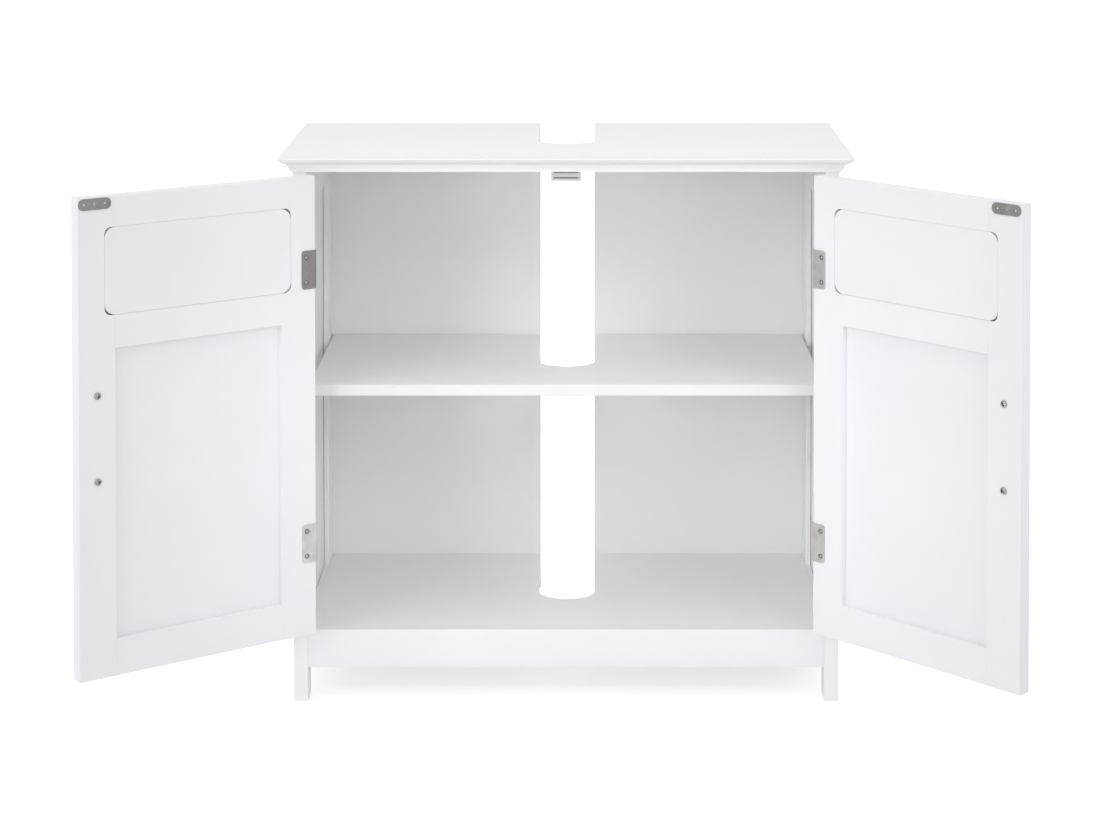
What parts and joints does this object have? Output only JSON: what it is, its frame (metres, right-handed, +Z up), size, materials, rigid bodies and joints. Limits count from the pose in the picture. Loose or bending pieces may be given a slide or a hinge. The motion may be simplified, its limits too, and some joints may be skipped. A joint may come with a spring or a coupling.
{
  "type": "washbasin base cabinet",
  "caption": "Free-standing washbasin base cabinet with inset frame doors, a shelf, short legs and a U-shaped pipe slot open at the back.",
  "frame": {"origin": "on the floor, on the centre line, in the plane of the top board's back edge, where the cabinet meets the wall", "axes": "+X along the width to the right as seen from the front, +Y towards the wall, +Z up"},
  "size_m": [0.9375, 0.4946, 0.572],
  "materials": {
    "painted_board": "satin",
    "painted_panel": "satin",
    "bare_wood": "matte",
    "hinge_steel": "satin",
    "strike_steel": "satin",
    "screw_steel": "satin",
    "handle_metal": "satin",
    "support_steel": "satin",
    "catch_plastic": "matte",
    "magnet_ferrite": "matte",
    "pole_steel": "satin"
  },
  "bodies": {
    "carcass": {"back_panel_screws": "screw_steel", "catch_housing": "catch_plastic", "catch_magnet": "magnet_ferrite", "catch_pole_plates": "pole_steel", "catch_screws": "screw_steel", "floor_board": "painted_board", "front_apron": "painted_board", "left_back_panel": "painted_panel", "left_bottom_rail": "painted_board", "left_front_post": "painted_board", "left_hinge_frame_leaves": "hinge_steel", "left_hinge_frame_screws": "screw_steel", "left_hinge_pins": "hinge_steel", "left_rear_post": "painted_board", "left_side_panel": "painted_panel", "left_top_rail": "painted_board", "locating_dowels": "bare_wood", "right_back_panel": "painted_panel", "right_bottom_rail": "painted_board", "right_front_post": "painted_board", "right_hinge_frame_leaves": "hinge_steel", "right_hinge_frame_screws": "screw_steel", "right_hinge_pins": "hinge_steel", "right_rear_post": "painted_board", "right_side_panel": "painted_panel", "right_top_rail": "painted_board", "shelf": "painted_board", "shelf_supports": "support_steel", "top_board": "painted_board"},
    "left_door": {"left_door_bottom_rail": "painted_board", "left_door_handle": "handle_metal", "left_door_handle_screws": "screw_steel", "left_door_hinge_stile": "painted_board", "left_door_lock_stile": "painted_board", "left_door_lower_panel": "painted_panel", "left_door_middle_rail": "painted_board", "left_door_strike_plate": "strike_steel", "left_door_strike_screw": "screw_steel", "left_door_top_rail": "painted_board", "left_door_upper_panel": "painted_panel", "left_hinge_door_leaves": "hinge_steel", "left_hinge_door_screws": "screw_steel"},
    "right_door": {"right_door_bottom_rail": "painted_board", "right_door_handle": "handle_metal", "right_door_handle_screws": "screw_steel", "right_door_hinge_stile": "painted_board", "right_door_lock_stile": "painted_board", "right_door_lower_panel": "painted_panel", "right_door_middle_rail": "painted_board", "right_door_strike_plate": "strike_steel", "right_door_strike_screw": "screw_steel", "right_door_top_rail": "painted_board", "right_door_upper_panel": "painted_panel", "right_hinge_door_leaves": "hinge_steel", "right_hinge_door_screws": "screw_steel"}
  },
  "joints": [
    {"name": "left_door_hinge", "type": "hinge", "parent": "carcass", "child": "left_door", "pos_m": [-0.2688, -0.2879, 0.3165], "axis": [0, 0, -1], "range_deg": [-144.2, 35.8]},
    {"name": "right_door_hinge", "type": "hinge", "parent": "carcass", "child": "right_door", "pos_m": [0.2688, -0.2879, 0.3165], "axis": [0, 0, 1], "range_deg": [-133.5, 46.5]}
  ]
}
